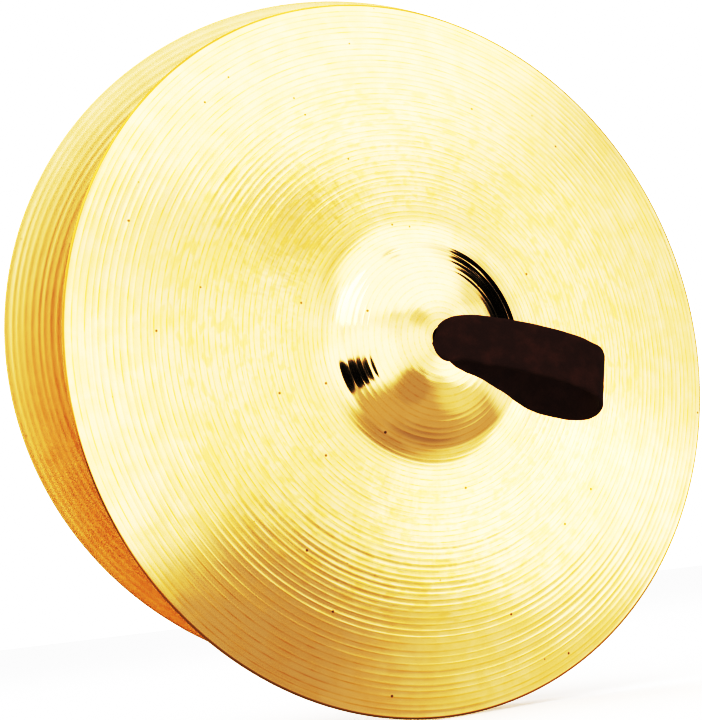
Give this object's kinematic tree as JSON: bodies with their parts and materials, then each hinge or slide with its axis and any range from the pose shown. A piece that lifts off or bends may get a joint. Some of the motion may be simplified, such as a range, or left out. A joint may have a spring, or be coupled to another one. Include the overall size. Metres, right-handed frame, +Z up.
{
  "type": "hand cymbals",
  "caption": "Pair of orchestral hand cymbals in lathed bronze with bells, on knotted black leather hand straps, opened like a clam.",
  "frame": {"origin": "the mouth of the front plate's centre hole, on the outside of its bell, where the player's fingers pinch the strap", "axes": "-Y outward along the front plate's axis, towards the player's left hand; +Z up; the plates meet on the +X side"},
  "size_m": [0.4064, 0.2237, 0.4329],
  "materials": {
    "bronze": "hammered and lathed, bright lacquer",
    "leather": "matte black-brown hide"
  },
  "bodies": {
    "front_plate": {"front_cymbal": "bronze"},
    "front_knot": {"front_strap_neck": "leather", "front_knot_tail_1": "leather", "front_knot_tail_2": "leather", "front_knot_tail_3": "leather", "front_knot_tail_4": "leather"},
    "front_loop": {"front_hand_strap": "leather"},
    "rear_plate": {"rear_cymbal": "bronze"},
    "rear_knot": {"rear_strap_neck": "leather", "rear_knot_tail_1": "leather", "rear_knot_tail_2": "leather", "rear_knot_tail_3": "leather", "rear_knot_tail_4": "leather"},
    "rear_loop": {"rear_hand_strap": "leather"}
  },
  "joints": [
    {"name": "clap", "type": "hinge", "parent": "front_plate", "child": "rear_plate", "pos_m": [0.1919, 0.037, 0.0265], "axis": [0, 0, -1], "range_deg": [-17.5, 60]},
    {"name": "front_strap_turn", "type": "hinge", "parent": "front_plate", "child": "front_knot", "pos_m": [0, 0, 0], "axis": [0, -1, 0], "continuous": true},
    {"name": "front_strap_lean", "type": "hinge", "parent": "front_knot", "child": "front_loop", "pos_m": [0, -0.0035, 0], "axis": [-0.4399, 0, -0.898], "range_deg": [0, 130]},
    {"name": "rear_strap_turn", "type": "hinge", "parent": "rear_plate", "child": "rear_knot", "pos_m": [0.00951, 0.13317, 0.0265], "axis": [0.3095, 0.9509, 0], "continuous": true},
    {"name": "rear_strap_lean", "type": "hinge", "parent": "rear_knot", "child": "rear_loop", "pos_m": [0.0106, 0.1365, 0.0265], "axis": [0.4183, -0.1362, -0.898], "range_deg": [0, 130]}
  ]
}
